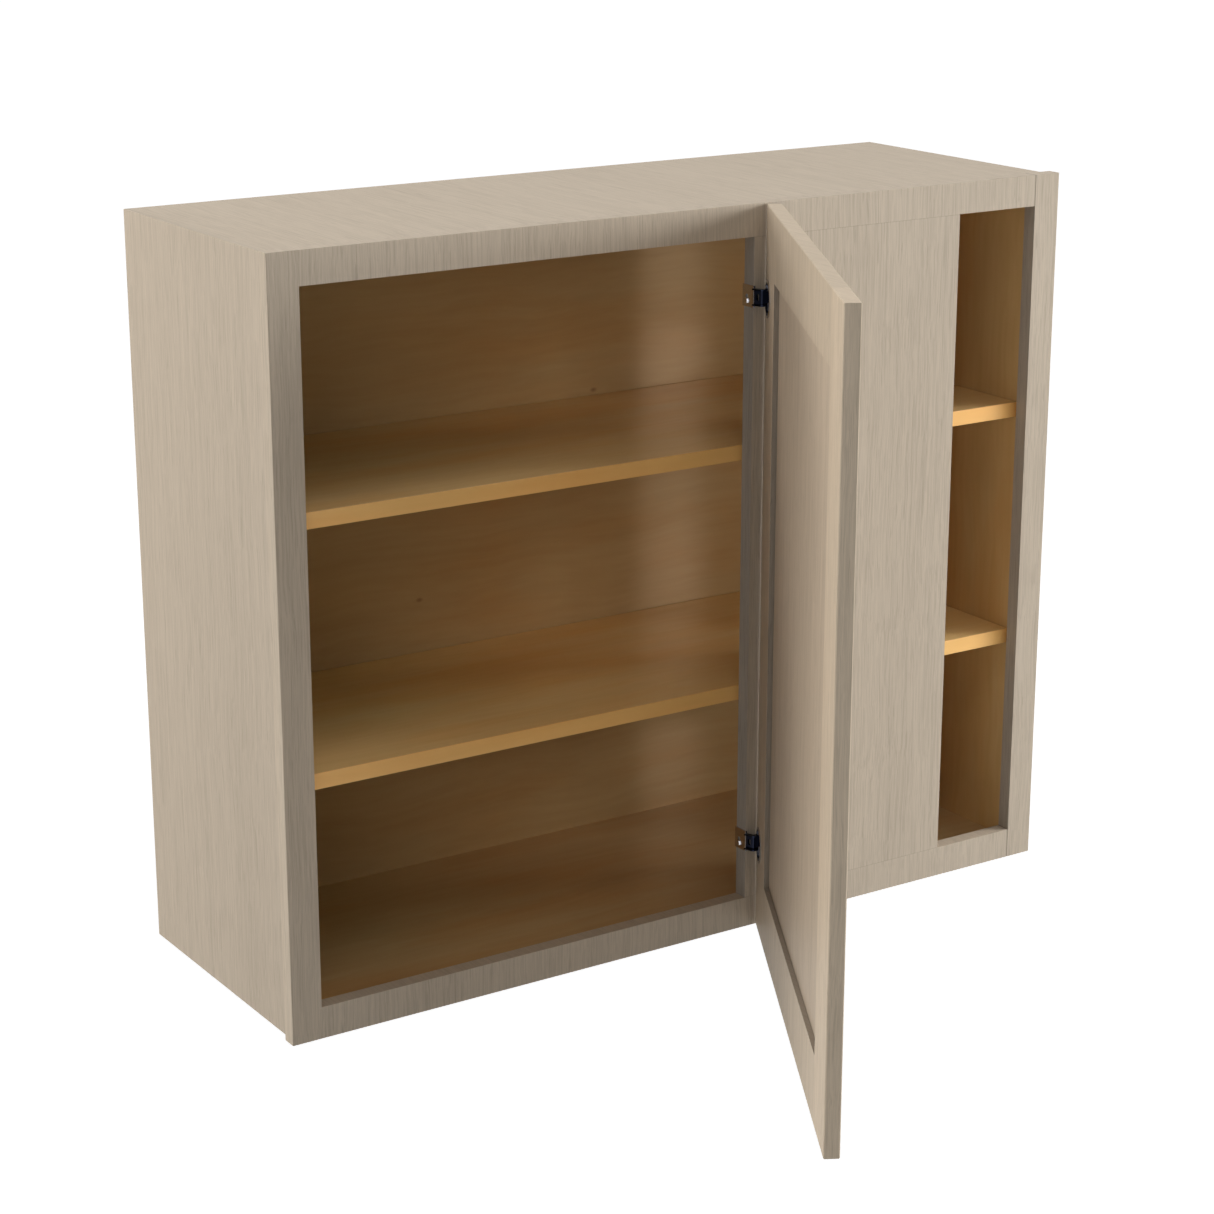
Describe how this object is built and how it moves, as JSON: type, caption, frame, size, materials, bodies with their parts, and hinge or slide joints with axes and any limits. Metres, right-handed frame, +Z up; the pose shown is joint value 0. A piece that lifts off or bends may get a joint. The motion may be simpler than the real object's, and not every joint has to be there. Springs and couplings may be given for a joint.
{
  "type": "hanging wall cabinet",
  "caption": "Wall-hung storage cabinet for a blind corner, with a face frame, an open framed door on concealed hinges, shelves and a narrow blind opening.",
  "frame": {"origin": "on the back face, midway along the face frame's width, level with the wall screws in the hanging rail", "axes": "+X to the cabinet's right as seen from the front, along its width; +Y back into the wall; +Z up"},
  "size_m": [0.924, 0.771, 0.762],
  "materials": {
    "greige_wood": "satin light greige wood-grain finish",
    "maple_interior": "satin golden maple finish",
    "maple_edge_band": "satin light maple edge band",
    "nickel_steel": "polished nickel plate",
    "clip_steel": "zinc plate"
  },
  "bodies": {
    "cabinet": {"left_stile": "greige_wood", "right_stile": "greige_wood", "top_rail": "greige_wood", "bottom_rail": "greige_wood", "blind_stile": "greige_wood", "left_side_panel": "greige_wood", "right_side_panel": "greige_wood", "top_panel": "greige_wood", "bottom_panel": "maple_interior", "back_panel": "maple_interior", "top_hanging_rail": "maple_interior", "lower_shelf": "maple_interior", "upper_shelf": "maple_interior", "lower_shelf_edge_band": "maple_edge_band", "upper_shelf_edge_band": "maple_edge_band", "shelf_clips": "clip_steel", "upper_hinge_arm": "nickel_steel", "lower_hinge_arm": "nickel_steel", "hinge_plate_screws": "nickel_steel"},
    "door": {"door_hinge_stile": "greige_wood", "door_latch_stile": "greige_wood", "door_top_rail": "greige_wood", "door_bottom_rail": "greige_wood", "door_panel": "greige_wood", "upper_hinge_cup": "nickel_steel", "lower_hinge_cup": "nickel_steel", "upper_hinge_pin": "nickel_steel", "lower_hinge_pin": "nickel_steel"}
  },
  "joints": [
    {"name": "door_hinge", "type": "hinge", "parent": "cabinet", "child": "door", "pos_m": [0.08426, -0.314, 0], "axis": [0, 0, 1], "range_deg": [-60.5, 44.5]}
  ]
}
